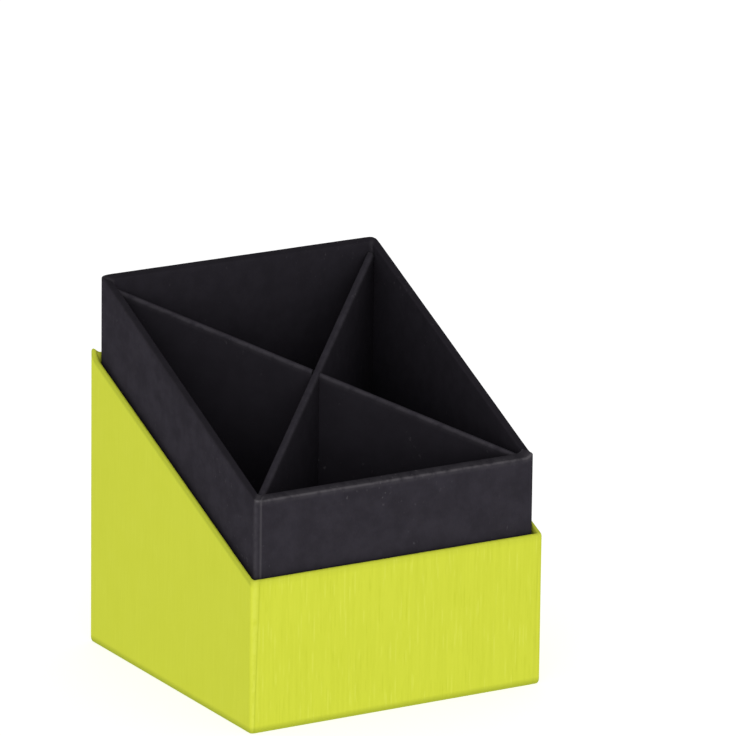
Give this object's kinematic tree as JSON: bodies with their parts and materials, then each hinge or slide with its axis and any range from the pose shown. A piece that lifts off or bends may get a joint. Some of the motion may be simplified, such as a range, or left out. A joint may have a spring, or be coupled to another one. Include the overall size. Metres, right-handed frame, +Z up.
{
  "type": "pen holder",
  "caption": "Square desk pen holder of paper-covered board: green case with a sloping rim, a taller black tray that lifts out of it, and crossed slotted dividers.",
  "frame": {"origin": "middle of the underside of the base sheet, on the table", "axes": "+Z up, the low front faces -Y, +X to the right seen from the front"},
  "size_m": [0.09, 0.09, 0.1048],
  "materials": {
    "grey_board": "bare grey board",
    "green_paper": "lime green paper with a fine upright rib",
    "black_paper": "matt black paper"
  },
  "bodies": {
    "case": {"case_base_board": "grey_board", "case_front_board": "grey_board", "case_back_board": "grey_board", "case_left_board": "grey_board", "case_right_board": "grey_board", "case_side_wrap": "green_paper", "case_front_sheet": "green_paper", "case_base_sheet": "green_paper"},
    "tray": {"tray_base_board": "grey_board", "tray_front_board": "grey_board", "tray_back_board": "grey_board", "tray_left_board": "grey_board", "tray_right_board": "grey_board", "tray_side_wrap": "black_paper", "tray_front_sheet": "black_paper", "tray_lining": "black_paper", "tray_floor_sheet": "black_paper"},
    "divider_lower": {"divider_lower_board": "grey_board", "divider_lower_cover": "black_paper"},
    "divider_upper": {"divider_upper_board": "grey_board", "divider_upper_cover": "black_paper"}
  },
  "joints": [
    {"name": "tray_lift", "type": "slide", "parent": "case", "child": "tray", "axis": [0, 0, 1], "range_m": [0, 0.085]},
    {"name": "lower_divider_lift", "type": "slide", "parent": "tray", "child": "divider_lower", "axis": [0, 0, 1], "range_m": [0, 0.105]},
    {"name": "upper_divider_lift", "type": "slide", "parent": "divider_lower", "child": "divider_upper", "axis": [0, 0, 1], "range_m": [0, 0.105]}
  ]
}
